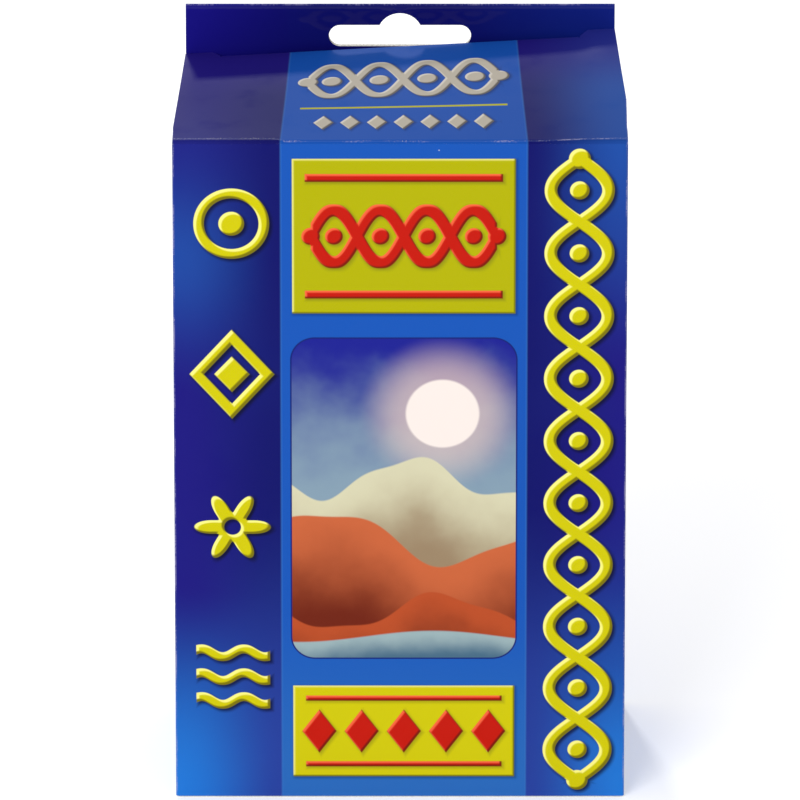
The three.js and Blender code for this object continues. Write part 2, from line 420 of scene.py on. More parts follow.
def landscape(finish, u, v):
    """Soft hills under a dusky sky, airbrushed. v runs up from the window's foot."""
    grain = finish.clouds(finish.at(u * 0.07, v * 0.07), 1.0, 3.0) - 0.5
    sky = finish.mix(ink(128, 152, 170), ink(25, 30, 140), finish.rise(v + grain * 26, 47.0, 89.0))
    sun = disc(u, v, 11.0, 69.0, 9.5)
    sky = finish.mix(sky, ink(222, 196, 186), (1 - finish.rise(sun, 0.0, 13.0)) * 0.55)
    colour = finish.mix(sky, ink(238, 226, 220), 1 - finish.rise(sun, -0.4, 0.4))
    for base, swing, length, shift, crest, foot, fall in [
        (51.0, 5.5, 47.0, 1.2, ink(208, 204, 172), ink(150, 128, 100), 26.0),
        (34.0, 7.5, 66.0, 3.4, ink(196, 98, 58), ink(108, 34, 16), 30.0),
        (13.0, 5.0, 53.0, 0.3, ink(180, 76, 38), ink(80, 22, 16), 22.0),
    ]:
        crest_line = (u * (2 * math.pi / length) + shift).sine() * swing + base
        crest_line = crest_line + (u * (5 * math.pi / length) - shift).sine() * (swing * 0.2)
        below = crest_line - v
        slope = finish.mix(crest, foot, finish.rise(below + grain * 16, 0.0, fall))
        colour = finish.mix(colour, slope, finish.rise(below, -0.3, 0.3))
    shore = (u * 0.09 + 0.8).sine() * 1.6 + 6.0 - v
    water = finish.mix(ink(150, 172, 176), ink(70, 104, 128), finish.rise(shore + grain * 6, 0.0, 7.0))
    return finish.mix(colour, water, finish.rise(shore, -0.3, 0.3))


def front_print():
    finish = Finish("front_print")
    u, v = finish.blank_place()
    colour = band_down_the_middle(finish, u, v, airbrushed_blues(finish, u, v))
    across = u - BAND_MIDDLE
    window = block(across, v, -WINDOW_HALF, WINDOW_HALF, *WINDOW, WINDOW_CORNER)
    colour = finish.mix(colour, ink(18, 30, 110), 1 - finish.rise(abs(window), 0.25, 0.5))
    colour = finish.mix(colour, landscape(finish, u, v - WINDOW[0]), 1 - finish.rise(window, -0.1, 0.1))
    # The large upper panel takes the yellow darkened as painted shade, the small lower one the plain
    # yellow.
    for (low, high), face in [(LARGE_PANEL, YELLOW_IN_PAINTED_SHADE), (SMALL_PANEL, YELLOW)]:
        colour = bevelled(
            finish, u, v, colour,
            lambda x, y: block(x - BAND_MIDDLE, y, -PANEL_HALF, PANEL_HALF, low, high, 0.15),
            face, ink(226, 222, 120), ink(110, 112, 10), 0.3, 0.5,
        )
    colour = bevelled(finish, u, v, colour, red_ornament, RED, ink(240, 96, 60),
                      ink(120, 22, 4), RED_BEVEL, 0.35)
    colour = bevelled(finish, u, v, colour, ribbon_and_figures, YELLOW, ink(246, 240, 130),
                      ink(120, 112, 8), FRONT_BEVEL, 0.85)
    return varnished(finish, u, v, worn_ink(finish, u, v, colour, lid_crease_wear(finish, u)))


SIDE_COAT = 0.22


def side_and_back_print():
    """The blues run on round the sides and over the back, which has the band again and no ornament."""
    finish = Finish("side_and_back_print")
    u, v = finish.blank_place()
    on_side = finish.rise(abs(u), half_width + depth * 0.2, half_width + depth)
    folded_u = 58.0 - 12.0 * on_side
    to_the_right = finish.rise(u, -1.0, 1.0)
    side_u = folded_u * to_the_right - folded_u * (1 - to_the_right)
    sides = airbrushed_blues(finish, side_u, v)
    back_u = -u - (2 * half_width + depth)
    back = band_down_the_middle(finish, back_u, v, airbrushed_blues(finish, back_u, v))
    on_back = finish.rise(-u, half_width + depth - 0.1, half_width + depth + 0.1)
    colour = finish.mix(sides, back, on_back)
    tab_blue = finish.mix(ink(22, 16, 124), ink(12, 13, 98), finish.rise(back_u, -58.0, -18.0))
    tab_blue = finish.mix(tab_blue, ink(14, 30, 120), finish.rise(back_u, 10.0, 50.0))
    colour = finish.mix(colour, tab_blue, finish.rise(v, tab_top - 1.2, tab_top - 0.6) * on_back)
    side_crease = crease_z - SIDE_FOLD
    top_crease = on_back * (tab_top - side_crease) + side_crease
    return varnished(finish, u, v, worn_ink(finish, u, v, colour, top_crease), SIDE_COAT)


front_printed = front_print()
sides_printed = side_and_back_print()

# The sleeve is the front, both sides, the back with its hang tab, and the glue flap. It is one sheet of
# folding boxboard, printed and varnished on its outer face, die-cut, scored and folded round. The tab is
# doubled: its board turns over at the top edge and comes down in front, printed side out.
facing_low, facing_high = node_box("tab_facing")
glue_low, glue_high = node_box("glue_flap")
front_y = front_low.y
rear_y = back_high.y
board = front_high.y - front_low.y
glue_depth = glue_high.y - front_y
turn_over = (rear_y - facing_low.y) / 2
CREASE_RADIUS = 0.7
SLEEVE_SQUEEZE = 0.042
SQUEEZE_FROM = 95.0
LEFT_BULGE = 0.1
RIGHT_BULGE = 0.3
BULGE_FROM = 60.0
FRONT_SWELL = 0.25
BACK_SWELL = 0.5
SLOT_CORNERS = 14
GRID = 4.0
side_top = crease_z - 0.9
tab_half = (half_width - 2.7) / (1 - SLEEVE_SQUEEZE)
tab_step_top = crease_z + 0.7
back_middle = -(2 * half_width + depth)
side_panel_top = crease_z - SIDE_FOLD - CREASE_RADIUS


def ramp(value, start, end):
    """0 up to start, 1 from end on, and a smooth rise between."""
    share = min(max((value - start) / (end - start), 0.0), 1.0)
    return share * share * (3 - 2 * share)


def round_corner(past, angle, radius=CREASE_RADIUS):
    """How far along, and how far off to the inner side, a scored crease has turned. past runs from
    -radius to radius over it."""
    turned = (past + radius) / (2 * radius) * angle
    return -radius + radius * math.sin(turned), radius * (1 - math.cos(turned))


def round_the_carton(u):
    """The place in plan of the sleeve's outer face, u millimetres to the right round it from the front's
    middle, and to the left where u is negative."""
    side = 1 if u > 0 else -1
    run = abs(u)
    side_depth = glue_depth if side > 0 else depth
    if run < half_width - CREASE_RADIUS:
        return u, front_y
    if run < half_width + CREASE_RADIUS:
        along, off = round_corner(run - half_width, math.pi / 2)
        return side * (half_width + along), front_y + off
    if run < half_width + side_depth - CREASE_RADIUS:
        return side * half_width, front_y + run - half_width
    if run < half_width + side_depth + CREASE_RADIUS:
        along, off = round_corner(run - half_width - side_depth, math.pi / 2)
        return side * (half_width - off), front_y + side_depth + along
    return side * (2 * half_width + side_depth - run), front_y + side_depth


def settled(x, y, z):
    """Where a point of the sleeve really lies: the empty carton is drawn in a little at the top behind,
    its sides bulge beside the lid, and its broad panels swell slightly."""
    height = min(z, crease_z)
    back_share = (y - front_y) / depth
    pulled = ramp(height, SQUEEZE_FROM, crease_z) * ramp(back_share, 0.0, 1.0)
    bulge = RIGHT_BULGE if x > 0 else LEFT_BULGE
    near_side = ramp(abs(x), half_width - 2.0, half_width)
    outward = bulge * ramp(height, BULGE_FROM, crease_z) * math.sin(math.pi * max(back_share, 0) ** 0.6)
    x *= 1 - SLEEVE_SQUEEZE * pulled
    x += math.copysign(outward * near_side, x)
    across = math.cos(math.pi / 2 * min(abs(x) / half_width, 1))
    upright = math.sin(math.pi * min(max(z / crease_z, 0), 1))
    if y < front_y + 1:
        y -= FRONT_SWELL * across * upright
    if y > rear_y - 2:
        y += BACK_SWELL * across * upright
    return x, y, z


def on_sleeve(u, v):
    """The sleeve's outer face at the flat sheet's point u, v. v is the height, and on the back it carries
    on over the tab's top edge and down its facing."""
    x, y = round_the_carton(u)
    z = v
    if v > tab_top - turn_over:
        if v < tab_top + turn_over:
            along, off = round_corner(v - tab_top, math.pi, turn_over)
            z, y = tab_top + along, rear_y - off
        else:
            z, y = 2 * tab_top - v, facing_low.y
    return settled(x, y, z)


def inside_loop(point, loop):
    """Whether a point of the flat sheet is inside a closed line."""
    x, y = point
    found = False
    for (ax, ay), (bx, by) in zip(loop, loop[1:] + loop[:1]):
        if (ay > y) != (by > y) and x < (bx - ax) * (y - ay) / (by - ay) + ax:
            found = not found
    return found


def crossed(loop, columns, rows):
    """The closed line with a point wherever it crosses a column or a row."""
    shortest = 0.03
    points = []
    for start, end in zip(loop, loop[1:] + loop[:1]):
        shares = [0.0]
        for k, places in enumerate((columns, rows)):
            if start[k] != end[k]:
                shares += [(place - start[k]) / (end[k] - start[k]) for place in places]
        length = math.dist(start, end)
        last = -1.0
        for share in sorted(share for share in shares if 0 <= share < 1 - shortest / length):
            if (share - last) * length > shortest:
                points.append(tuple(a + (b - a) * share for a, b in zip(start, end)))
                last = share
    return points


def near_line(point, loop, reach):
    """Whether a point of the flat sheet is closer than reach to a closed line."""
    for start, end in zip(loop, loop[1:] + loop[:1]):
        a, b, p = Vector(start), Vector(end), Vector(point)
        along = min(max((p - a).dot(b - a) / max((b - a).length_squared, 1e-9), 0), 1)
        if (a.lerp(b, along) - p).length < reach:
            return True
    return False


def spread(low, high, step, creases=(), radius=CREASE_RADIUS):
    """Even places from low to high, with close ones over every crease."""
    places = {round(low + (high - low) * i / max(1, round((high - low) / step)), 4)
              for i in range(max(1, round((high - low) / step)) + 1)}
    for crease in creases:
        places = {place for place in places if abs(place - crease) > radius * 1.3}
        places |= {round(crease + radius * part / 3, 4) for part in range(-3, 4)}
    return sorted(places)


def folded_board(name, outline, holes, columns, rows, place, faces, face_at=lambda u, v: 0):
    """A folded sheet of board. outline and holes are closed lines on the flat sheet, and columns and rows
    are where it may bend. place gives the outer face's point for a flat one. faces are the finishes of
    the outer face, and face_at says which of them a place has."""
    loops = [crossed(loop, columns, rows) for loop in [outline, *holes]]
    flat, edges = [], []
    for loop in loops:
        first = len(flat)
        flat += loop
        edges += [(first + i, first + (i + 1) % len(loop)) for i in range(len(loop))]
    for u in columns:
        for v in rows:
            if inside_loop((u, v), outline) and not any(inside_loop((u, v), hole) for hole in holes):
                flat.append((u, v))
    margin = 0.12
    kept = flat[:len(edges)]
    kept += [point for point in flat[len(edges):]
             if not any(near_line(point, loop, margin) for loop in [outline, *holes])]
    cut = geometry.delaunay_2d_cdt([Vector(point) for point in kept], edges, [], 0, 1e-5)
    corners = [(point.x, point.y) for point in cut[0]]
    triangles = []
    for triangle in cut[2]:
        middle = tuple(sum(corners[i][k] for i in triangle) / 3 for k in (0, 1))
        if inside_loop(middle, outline) and not any(inside_loop(middle, hole) for hole in holes):
            triangles.append(triangle)

    outer, inner = [], []
    tiny = 0.02
    for u, v in corners:
        here = Vector(place(u, v))
        across = Vector(place(u + tiny, v)) - Vector(place(u - tiny, v))
        along = Vector(place(u, v + tiny)) - Vector(place(u, v - tiny))
        outer.append(here)
        inner.append(here - across.cross(along).normalized() * board)

    sheet = bmesh.new()
    blank = sheet.loops.layers.uv.new("blank")
    outer_corners = [sheet.verts.new(point * MM) for point in outer]
    inner_corners = [sheet.verts.new(point * MM) for point in inner]
    rims = {}

    def add_face(faces_corners, flat_corners, finish, smooth):
        face = sheet.faces.new(faces_corners)
        face.material_index = finish
        face.smooth = smooth
        for loop, (u, v) in zip(face.loops, flat_corners):
            loop[blank].uv = (u / 100, v / 100)

    for triangle in triangles:
        (ax, ay), (bx, by), (cx, cy) = (corners[i] for i in triangle)
        if (bx - ax) * (cy - ay) - (by - ay) * (cx - ax) < 0:
            triangle = triangle[::-1]
        middle = [sum(corners[i][k] for i in triangle) / 3 for k in (0, 1)]
        add_face([outer_corners[i] for i in triangle], [corners[i] for i in triangle],
                 face_at(*middle), True)
        add_face([inner_corners[i] for i in reversed(triangle)], [corners[i] for i in reversed(triangle)],
                 len(faces), True)
        for a, b in zip(triangle, triangle[1:] + triangle[:1]):
            if (b, a) in rims:
                del rims[(b, a)]
            else:
                rims[(a, b)] = True
    for a, b in rims:
        add_face([outer_corners[b], outer_corners[a], inner_corners[a], inner_corners[b]],
                 [corners[b], corners[a], corners[a], corners[b]], len(faces) + 1, False)
    bmesh.ops.delete(sheet, geom=[v for v in sheet.verts if not v.link_faces], context="VERTS")
    mesh = bpy.data.meshes.new(name)
    sheet.to_mesh(mesh)
    sheet.free()
    mesh.set_sharp_from_angle(angle=math.radians(50))
    for finish in [*faces, bare, edge]:
        mesh.materials.append(finish)
    piece = bpy.data.objects.new(name, mesh)
    bpy.context.scene.collection.objects.link(piece)
    return piece


# The peg slot's line on the back, from its real sizes. Its lower edge is flat, its ends are round, and a
# hump rises in the middle of its upper edge.
slot_length, slot_height = 37.0, 5.9
hump_width, hump_height, board_above_hump = 10.6, 3.3, 2.4


def slot_line(mirrored):
    radius = slot_height / 2
    end_u = slot_length / 2 - radius
    upper = tab_top - board_above_hump - hump_height
    middle = upper - radius
    hump_radius = ((hump_width / 2) ** 2 + hump_height ** 2) / (2 * hump_height)
    hump_middle = upper + hump_height - hump_radius
    hump_start = math.atan2(upper - hump_middle, hump_width / 2)
    points = []
    for step in range(SLOT_CORNERS + 1):
        angle = -math.pi / 2 + math.pi * step / SLOT_CORNERS
        points.append((end_u + radius * math.cos(angle), middle + radius * math.sin(angle)))
    for step in range(SLOT_CORNERS + 1):
        angle = hump_start + (math.pi - 2 * hump_start) * step / SLOT_CORNERS
        points.append((hump_radius * math.cos(angle), hump_middle + hump_radius * math.sin(angle)))
    for step in range(SLOT_CORNERS + 1):
        angle = math.pi / 2 + math.pi * step / SLOT_CORNERS
        points.append((-end_u + radius * math.cos(angle), middle + radius * math.sin(angle)))
    if mirrored:
        points = [(x, 2 * tab_top - z) for x, z in points]
    return [(back_middle - x / (1 - SLEEVE_SQUEEZE), z) for x, z in points]


facing_half = facing_high.x
sleeve_foot = 0.4
glue_root = half_width + glue_depth
glue_end = glue_root + (glue_high.x - glue_low.x)
glue_slant = 6.0
facing_foot = 2 * tab_top - facing_low.z
facing_step = 2 * tab_top - side_top
sleeve_outline = [
    (back_middle - half_width, sleeve_foot),
    (glue_root, sleeve_foot),
    (glue_root, glue_low.z),
    (glue_end, glue_low.z + glue_slant),
    (glue_end, glue_high.z - glue_slant),
    (glue_root, glue_high.z),
    (glue_root, side_panel_top),
    (half_width + CREASE_RADIUS, side_panel_top),
    (half_width, side_top),
    (-half_width, side_top),
    (-half_width - CREASE_RADIUS, side_panel_top),
    (back_middle + half_width + CREASE_RADIUS, side_panel_top),
    (back_middle + half_width, side_top),
    (back_middle + tab_half, tab_step_top),
    (back_middle + tab_half, 2 * tab_top - tab_step_top),
    (back_middle + facing_half, facing_step),
    (back_middle + facing_half, facing_foot),
    (back_middle - facing_half, facing_foot),
    (back_middle - facing_half, facing_step),
    (back_middle - tab_half, 2 * tab_top - tab_step_top),
    (back_middle - tab_half, tab_step_top),
    (back_middle - half_width, side_top),
]
sleeve_outline = [point for i, point in enumerate(sleeve_outline) if point != sleeve_outline[i - 1]]
vertical_creases = [-half_width - depth, -half_width, half_width, glue_root]
sleeve_columns = spread(back_middle - half_width, glue_end, GRID, vertical_creases)
sleeve_rows = spread(sleeve_foot, facing_foot, GRID, [tab_top], turn_over)
sleeve = folded_board(
    "sleeve", sleeve_outline, [slot_line(False), slot_line(True)], sleeve_columns, sleeve_rows, on_sleeve,
    [front_printed, sides_printed], lambda u, v: 0 if abs(u) < half_width else 1,
)
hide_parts("front_panel", "left_panel", "right_panel", "back_panel", "tab_facing", "glue_flap")
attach(sleeve, "carton")

# The lid and its tuck flap are one flap of the same board, creased along the front's top edge. Two short
# slits at the rear leave a shoulder at each end of the tuck crease, and these catch behind the tab. The
# lid is shut askew: its right end stands open.
LID_RADIUS = 0.8
lid_twist = math.radians(7.0)
lid_taper = 2.7
lid_clearance = 0.3
shoulder_width, shoulder_slant = 7.0, 2.0
tuck_corner = 7.0
tuck_length = 13.0
shoulder_reach = facing_low.y - lid_clearance - front_y
shoulder_step = 2.0
lid_reach = shoulder_reach - shoulder_step
tuck_swing = math.sqrt(shoulder_reach ** 2 - tuck_length ** 2) - lid_clearance
tuck_lean = math.atan2(lid_reach - tuck_swing, tuck_length)
LID_SAG = 0.4
LIFT_FROM = 20.0
LEFT_LIFT, RIGHT_LIFT = 0.2, 0.6


def over_the_crease(past, bend, radius):
    """Like round_corner, for a crease that bends by another angle than a right one. Gives the places
    along the first sheet and off it."""
    tangent = radius * math.tan(bend / 2)
    turned = (past + tangent) / (2 * tangent) * bend
    return -tangent + radius * math.sin(turned), radius * (1 - math.cos(turned))


def on_lid(u, v):
    """The lid's outer face, v millimetres from the sheet's foot. Above crease_z the sheet lies back, and
    beyond the lid's reach it hangs down as the tuck flap."""
    rise = lid_twist * (u / (2 * half_width) + 0.5)
    bend = math.pi / 2 - rise
    tangent = LID_RADIUS * math.tan(bend / 2)
    past = v - crease_z
    if past < -tangent:
        return u, front_y, v
    if past < tangent:
        up, back = over_the_crease(past, bend, LID_RADIUS)
        return u, front_y + back, crease_z + up
    reach, drop = past, 0.0
    tuck_bend = math.pi / 2 + tuck_lean
    tuck_tangent = CREASE_RADIUS * math.tan(tuck_bend / 2)
    beyond = past - lid_reach
    if beyond > -tuck_tangent and abs(u) < tuck_half + shoulder_slant * 0.3:
        if beyond < tuck_tangent:
            along, drop = over_the_crease(beyond, tuck_bend, CREASE_RADIUS)
            reach = lid_reach + along
        else:
            reach = lid_reach - beyond * math.sin(tuck_lean)
            drop = beyond * math.cos(tuck_lean)
    shoulder = ramp(abs(u), tuck_half, shoulder_u) * ramp(past, lid_reach - LIFT_FROM, shoulder_reach)
    drop -= shoulder * (RIGHT_LIFT if u > 0 else LEFT_LIFT)
    along_lid = math.sin(math.pi * min(reach / lid_reach, 1)) ** 2
    drop += LID_SAG * along_lid * math.cos(math.pi / 2 * u / half_width)
    return (u, front_y + reach * math.cos(rise) + drop * math.sin(rise),
            crease_z + reach * math.sin(rise) - drop * math.cos(rise))


# The lid's print carries the band on, with a row of small silver lozenges, a thin yellow rule and a plait
# in silver ink. Its blues are darkened all over with a little near-black, as painted shade on the
# carton's top.
SILVER = ink(178, 170, 156)
# A near-black mixed over the lid's blues as painted shade.
LID_PAINTED_SHADE = ink(20, 0, 16)
LID_PAINTED_SHADE_SHARE = 0.15
REAR_VIOLET = ink(38, 28, 128)
LID_PRINT_TAPER = 0.0014
LOZENGES_BEHIND, RULE_BEHIND, PLAIT_BEHIND = 11.5, 21.0, 37.5
SILVER_BEVEL = 0.4
SILVER_TURN = 26.0
BAND_COAT, RIGHT_COAT, LEFT_COAT = 0.016, 0.038, 0.083
LID_HAZE = 0.3


def silver_ornament(u, v):
    across = u - BAND_MIDDLE
    behind = v - crease_z
    silver_plait = plait(across + SILVER_TURN, behind - PLAIT_BEHIND, swing=9.0, turn=SILVER_TURN,
                         stroke=3.0, eye=2.8, knob=2.8, loops=4)
    row = lozenge(across.maths("WRAP", 3.5, -3.5), behind, 0.0, LOZENGES_BEHIND, 2.7, 4.6)
    return silver_plait.least(row.most(abs(across) - 24.6))


def lid_print():
    """The front's blues and band carried on over the lid. They narrow with it towards the rear, and turn
    to violet there."""
    finish = Finish("lid_print")
    flat_u, v = finish.blank_place()
    behind = v - crease_z
    u = flat_u * (1 + behind * LID_PRINT_TAPER)
    violet_share = finish.rise(behind, 26.0, 52.0) * 0.75
    ground = finish.mix(airbrushed_blues(finish, u, v), REAR_VIOLET, violet_share)
    # Painted shade: the lid's blues and band are darkened a little towards near-black.
    colour = finish.mix(band_down_the_middle(finish, u, v, ground), LID_PAINTED_SHADE, LID_PAINTED_SHADE_SHARE)
    rule = (abs(behind - RULE_BEHIND) - 0.5).most(abs(u - BAND_MIDDLE) - 27.5)
    colour = finish.mix(colour, ink(176, 172, 20), 1 - finish.rise(rule, -0.15, 0.15))
    colour = bevelled(finish, u, v, colour, silver_ornament, SILVER, ink(206, 200, 188),
                      ink(92, 88, 84), SILVER_BEVEL, 0.5)
    off_band = finish.rise(abs(u - BAND_MIDDLE), BAND_HALF - 0.2, BAND_HALF + 0.2)
    at_left = 1 - finish.rise(u, -1.0, 1.0)
    side_coat = (RIGHT_COAT - BAND_COAT) + (LEFT_COAT - RIGHT_COAT) * at_left
    worn = worn_ink(finish, flat_u, v, colour, lid_crease_wear(finish, flat_u))
    return varnished(finish, u, v, worn, BAND_COAT + off_band * side_coat, LID_HAZE)


lid_printed = lid_print()

shoulder_u = half_width - lid_taper - shoulder_width
tuck_half = shoulder_u - shoulder_slant - 0.5
lid_near = crease_z + 1.4
lid_far = crease_z + lid_reach
tuck_end = lid_far + tuck_length
lid_side_gap = 0.1
TUCK_CORNERS = 6


def rounded_tuck(end, upward):
    """The right corner of a tuck flap's free end, laid flat. upward is -1 for a flap that runs down."""
    angles = [math.pi / 2 * step / TUCK_CORNERS for step in range(TUCK_CORNERS + 1)]
    return [(tuck_half - tuck_corner * (1 - math.cos(angle)),
             end - upward * tuck_corner * (1 - math.sin(angle))) for angle in angles]


lid_half = [
    (half_width - lid_taper, crease_z + shoulder_reach),
    (shoulder_u, crease_z + shoulder_reach),
    (tuck_half + 0.5, lid_far),
    (tuck_half + 0.25, lid_far - 1.2),
    (tuck_half, lid_far),
    *rounded_tuck(tuck_end, 1),
]
lid_outline = [(half_width - lid_side_gap, lid_near), (half_width - lid_side_gap, crease_z + 22.0)]
lid_outline += lid_half + [(-u, v) for u, v in reversed(lid_half)]
lid_outline += [(lid_side_gap - half_width, crease_z + 9.0), (lid_side_gap - half_width, lid_near)]
lid_columns = spread(-half_width, half_width, GRID)
lid_rows = spread(lid_near, tuck_end, GRID, [lid_far])
lid = folded_board("lid", lid_outline, [], lid_columns, lid_rows, on_lid, [lid_printed])
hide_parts("lid_panel", "tuck_flap")
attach(lid, "lid")

# The lid's crease is a narrow stretch of the same board, scored on the inside so that it bends in a small
# round.
crease_foot = side_top
crease_outline = [(-half_width, crease_foot), (half_width, crease_foot),
                  (half_width - lid_side_gap, lid_near), (lid_side_gap - half_width, lid_near)]
lid_crease = folded_board("lid_crease", crease_outline, [], lid_columns,
                          spread(crease_foot, lid_near, 0.2), on_lid, [lid_printed])
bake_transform(lid_crease)

# Where the creases are rubbed, the board's top ply has lifted in short pale fibres. They are scattered
# along each crease in patches.
def fibre_tree():
    """Geometry Nodes that scatter short fibres in patches along the lines they are given."""
    tree = bpy.data.node_groups.new("lifted_fibres", "GeometryNodeTree")
    sockets = {
        "Creases": "Geometry", "Spacing": "Float", "Fibre Length": "Float", "Fibre Radius": "Float",
        "Spread": "Float", "Worn Share": "Float", "Seed": "Int", "Finish": "Material",
    }
    for name, kind in sockets.items():
        tree.interface.new_socket(name, in_out="INPUT", socket_type="NodeSocket" + kind)
    tree.interface.new_socket("Fibres", in_out="OUTPUT", socket_type="NodeSocketGeometry")

    def step(kind, settings, inputs):
        made = tree.nodes.new(kind)
        for setting, value in settings.items():
            setattr(made, setting, value)
        for socket, value in inputs.items():
            if isinstance(value, bpy.types.NodeSocket):
                tree.links.new(value, made.inputs[socket])
            else:
                made.inputs[socket].default_value = value
        return made

    given = step("NodeGroupInput", {}, {}).outputs
    lines = step("GeometryNodeMeshToCurve", {}, {"Mesh": given["Creases"]})
    places = step("GeometryNodeResampleCurve", {"mode": "LENGTH"},
                  {"Curve": lines.outputs["Curve"], "Length": given["Spacing"]})
    patches = step("ShaderNodeTexNoise", {}, {"Scale": 55.0, "Detail": 2.0})
    kept = step("FunctionNodeCompare", {"data_type": "FLOAT", "operation": "LESS_THAN"},
                {0: patches.outputs[0], 1: given["Worn Share"]})
    scatter = step("FunctionNodeRandomValue", {"data_type": "FLOAT_VECTOR"},
                   {0: (-1, -1, -1), 1: (1, 1, 1), "Seed": given["Seed"]})
    moved = step("ShaderNodeVectorMath", {"operation": "SCALE"},
                 {0: scatter.outputs[0], "Scale": given["Spread"]})
    scattered = step("GeometryNodeSetPosition", {},
                     {"Geometry": places.outputs["Curve"], "Offset": moved.outputs[0]})
    stem = step("GeometryNodeCurvePrimitiveLine", {"mode": "DIRECTION"},
                {"Direction": (0, 0, 1), "Length": given["Fibre Length"]})
    girth = step("GeometryNodeCurvePrimitiveCircle", {},
                 {"Resolution": 4, "Radius": given["Fibre Radius"]})
    fibre = step("GeometryNodeCurveToMesh", {},
                 {"Curve": stem.outputs[0], "Profile Curve": girth.outputs[0], "Fill Caps": True})
    turn = step("FunctionNodeRandomValue", {"data_type": "FLOAT_VECTOR"},
                {0: (0, 0, 0), 1: (2 * math.pi,) * 3, "Seed": given["Seed"]})
    size = step("FunctionNodeRandomValue", {"data_type": "FLOAT"},
                {2: 0.35, 3: 1.0, "Seed": given["Seed"]})
    laid = step("GeometryNodeInstanceOnPoints", {},
                {"Points": scattered.outputs[0], "Selection": kept.outputs[0],
                 "Instance": fibre.outputs[0], "Rotation": turn.outputs[0], "Scale": size.outputs[1]})
    real = step("GeometryNodeRealizeInstances", {}, {0: laid.outputs[0]})
    coloured = step("GeometryNodeSetMaterial", {},
                    {"Geometry": real.outputs[0], "Material": given["Finish"]})
    step("NodeGroupOutput", {}, {0: coloured.outputs[0]})
    return tree


fibres = fibre_tree()
FIBRE_LENGTH = 0.4
FIBRE_RADIUS = 0.03
FIBRE_SPREAD = 0.12


def lifted_fibres(name, creases, spacing, worn_share, seed):
    """Fibres along the creases, each a list of points in millimetres, as one plain mesh."""
    mesh = bpy.data.meshes.new(name)
    points, edges = [], []
    for crease in creases:
        first = len(points)
        points += [Vector(point) * MM for point in crease]
        edges += [(i, i + 1) for i in range(first, len(points) - 1)]
    mesh.from_pydata(points, edges, [])
    piece = bpy.data.objects.new(name, mesh)
    bpy.context.scene.collection.objects.link(piece)
    grown = piece.modifiers.new("fibres", "NODES")
    grown.node_group = fibres
    values = {
        "Spacing": spacing * MM, "Fibre Length": FIBRE_LENGTH * MM, "Fibre Radius": FIBRE_RADIUS * MM,
        "Spread": FIBRE_SPREAD * MM, "Worn Share": worn_share, "Seed": seed, "Finish": edge,
    }
    for socket in fibres.interface.items_tree:
        if socket.in_out == "INPUT" and socket.name in values:
            grown[socket.identifier] = values[socket.name]
    bpy.context.view_layer.update()
    evaluated = piece.evaluated_get(bpy.context.evaluated_depsgraph_get())
    finished = bpy.data.meshes.new_from_object(evaluated)
    piece.modifiers.remove(grown)
    piece.data = finished
    return piece


heights = [2.0 + 4.0 * i for i in range(46)]
widths = [-57.0 + 3.0 * i for i in range(39)]
upright_creases = [[on_sleeve(u, v) for v in heights] for u in vertical_creases]
carton_fibres = lifted_fibres("carton_fibres", upright_creases, 0.55, 0.40, 4)
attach(carton_fibres, "carton")
lid_wear = [on_lid(u, crease_z + WEAR_BEHIND_CREASE * (ramp(u, 30.0, 58.0) + ramp(-u, 29.0, 33.0)))
            for u in widths]
lid_fibres = lifted_fibres("lid_fibres", [lid_wear], 0.4, 0.46, 9)
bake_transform(lid_fibres)

# The four dust flaps are bare inside and printed outside. They are creased along the side panels' edges
# and lie under the lid and over the bottom.
dust_tip_taper, dust_corner = 3.0, 4.0
dust_length = 38.0
dust_tip_gap = 2.5
dust_root, dust_notch = 8.0, 10.0
DUST_CORNERS = 5
DUST_GRID = 5.0
DUST_SPRING = 0.02
dust_low, dust_high = node_box("dust_flap_right")
bottom_dust_low, bottom_dust_high = node_box("bottom_dust_flap_right")


def dust_fold(upward):
    """The height of the side panels' top crease, or of their bottom one."""
    return crease_z - SIDE_FOLD if upward > 0 else SIDE_FOLD


def dust_outline(side, near, root_far, upward):
    """A dust flap's flat outline, from its side panel's edge. side is -1 for the left one, and upward is
    1 for a top one and -1 for a bottom one."""
    foot = dust_fold(upward) - upward * CREASE_RADIUS
    far = root_far - dust_tip_gap

    def at(y):
        return side * (half_width + y - front_y)

    def reach(distance):
        return dust_fold(upward) + upward * distance

    points = [(at(near), foot), (at(root_far), foot), (at(root_far), reach(dust_root)),
              (at(far), reach(dust_notch)), (at(far - dust_tip_taper), reach(dust_length - dust_corner))]
    for step in range(1, DUST_CORNERS + 1):
        angle = math.pi / 2 * step / DUST_CORNERS
        points.append((at(far - dust_tip_taper - dust_corner * (1 - math.cos(angle))),
                       reach(dust_length - dust_corner * (1 - math.sin(angle)))))
    for step in range(DUST_CORNERS + 1):
        angle = math.pi / 2 * step / DUST_CORNERS
        points.append((at(near + dust_tip_taper + dust_corner * (1 - math.sin(angle))),
                       reach(dust_length - dust_corner * (1 - math.cos(angle)))))
    return points


def on_dust_flap(upward):
    """The outer face of the top or the bottom dust flaps, as a function of the flat sheet's place."""
    def place(u, v):
        side = 1 if u > 0 else -1
        y = front_y + abs(u) - half_width
        past = upward * (v - dust_fold(upward))
        if past < -CREASE_RADIUS:
            off, up = 0.0, past
        elif past < CREASE_RADIUS:
            up, off = round_corner(past, math.pi / 2)
        else:
            off, up = past, 0.0
        x, y, z = settled(side * half_width, y, dust_fold(upward) + upward * up)
        return x - side * off, y, z - upward * DUST_SPRING * off
    return place


